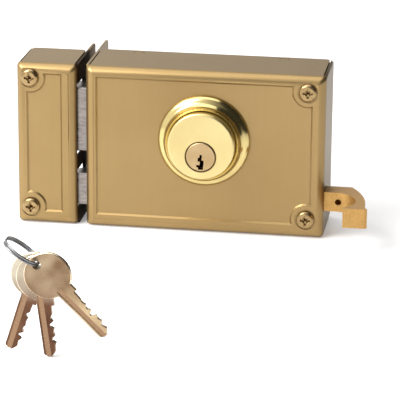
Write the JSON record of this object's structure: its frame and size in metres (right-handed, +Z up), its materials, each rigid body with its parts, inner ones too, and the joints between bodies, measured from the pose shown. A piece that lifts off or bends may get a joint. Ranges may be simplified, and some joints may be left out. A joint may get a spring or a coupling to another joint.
{
  "type": "door lock",
  "caption": "Surface-mounted door lock with a key-driven deadbolt, a sprung latch with a brass pull and a matching strike box.",
  "frame": {"origin": "on the plane of the door's inner face, on the centre line of the two key cylinders", "axes": "+Y into the door, -Y the lock's front, -X the way the bolts are thrown, +Z up"},
  "size_m": [0.1784, 0.2761, 0.083],
  "materials": {
    "gold_enamel": "satin gold lacquer on pressed steel",
    "polished_brass": "polished",
    "satin_brass": "satin",
    "plug_brass": "fine turned",
    "cast_brass": "raw cast, lightly tumbled",
    "key_brass": "worn nickelled brass",
    "bright_steel": "ground",
    "zinc_steel": "zinc plated",
    "yellow_zinc": "yellow zinc plated",
    "spring_steel": "drawn wire"
  },
  "bodies": {
    "case": {"lock_cover": "gold_enamel", "back_plate": "gold_enamel", "case_screws": "yellow_zinc", "case_spacers": "zinc_steel", "clamp_screws": "yellow_zinc", "bolt_guide_post": "zinc_steel", "spring_stop": "zinc_steel", "inner_rosette": "polished_brass", "inner_cylinder": "satin_brass", "inner_driver_pins": "plug_brass", "inner_pin_springs": "spring_steel", "outer_rosette": "polished_brass", "outer_cylinder": "satin_brass", "outer_driver_pins": "plug_brass", "outer_pin_springs": "spring_steel"},
    "inside_key_plug": {"inner_plug": "plug_brass", "inner_plug_clip": "spring_steel", "inner_key_pins": "plug_brass", "inner_tailpiece": "zinc_steel"},
    "outside_key_plug": {"outer_plug": "plug_brass", "outer_plug_clip": "spring_steel", "outer_key_pins": "plug_brass", "outer_tailpiece": "zinc_steel"},
    "driver": {"driver": "zinc_steel"},
    "deadbolt": {"deadbolt_head": "bright_steel", "deadbolt_tail": "zinc_steel", "deadbolt_rivets": "zinc_steel"},
    "latch": {"latch_bolt": "bright_steel", "latch_bar": "zinc_steel", "latch_pins": "zinc_steel", "latch_spring": "spring_steel", "pull_handle": "cast_brass"},
    "strike": {"strike_box": "gold_enamel", "strike_screws": "yellow_zinc", "strike_spacers": "zinc_steel"},
    "ring_of_keys": {"key_ring": "spring_steel"},
    "first_key": {"front_key": "key_brass"},
    "second_key": {"middle_key": "key_brass"},
    "third_key": {"rear_key": "key_brass"}
  },
  "joints": [
    {"name": "key_turn", "type": "hinge", "parent": "case", "child": "inside_key_plug", "pos_m": [0, 0, -0.0052], "axis": [0, 1, 0], "range_deg": [0, 360]},
    {"name": "outside_key_turn", "type": "hinge", "parent": "case", "child": "outside_key_plug", "pos_m": [0, 0, -0.0052], "axis": [0, 1, 0], "range_deg": [0, 360]},
    {"name": "driver_turn", "type": "hinge", "parent": "case", "child": "driver", "pos_m": [0, 0, -0.0052], "axis": [0, 1, 0], "range_deg": [0, 360]},
    {"name": "deadbolt_slide", "type": "slide", "parent": "case", "child": "deadbolt", "axis": [1, 0, 0], "range_m": [0, 0.02827]},
    {"name": "latch_slide", "type": "slide", "parent": "case", "child": "latch", "axis": [1, 0, 0], "range_m": [0, 0.011], "stiffness_N_per_m": 350, "springref_m": -0.008, "deforming": ["latch_spring"]},
    {"name": "strike_lift_off", "type": "slide", "parent": "case", "child": "strike", "axis": [-1, 0, 0], "range_m": [0, 0.032]},
    {"name": "keys_lift_off", "type": "slide", "parent": "case", "child": "ring_of_keys", "axis": [0, -1, 0], "range_m": [0, 0.04]},
    {"name": "first_key_swing", "type": "hinge", "parent": "ring_of_keys", "child": "first_key", "pos_m": [-0.0446, -0.215, -0.0053], "axis": [0, 1, 0], "range_deg": [-12, 12]},
    {"name": "second_key_swing", "type": "hinge", "parent": "ring_of_keys", "child": "second_key", "pos_m": [-0.0446, -0.215, -0.0053], "axis": [0, 1, 0], "range_deg": [-12, 12]},
    {"name": "third_key_swing", "type": "hinge", "parent": "ring_of_keys", "child": "third_key", "pos_m": [-0.0446, -0.215, -0.0053], "axis": [0, 1, 0], "range_deg": [-12, 12]}
  ],
  "couplings": [
    {"joint": "key_turn", "follows": "deadbolt_slide", "rad_per_m": 222.22},
    {"joint": "outside_key_turn", "follows": "deadbolt_slide", "rad_per_m": 222.22},
    {"joint": "driver_turn", "follows": "deadbolt_slide", "rad_per_m": 222.22}
  ]
}
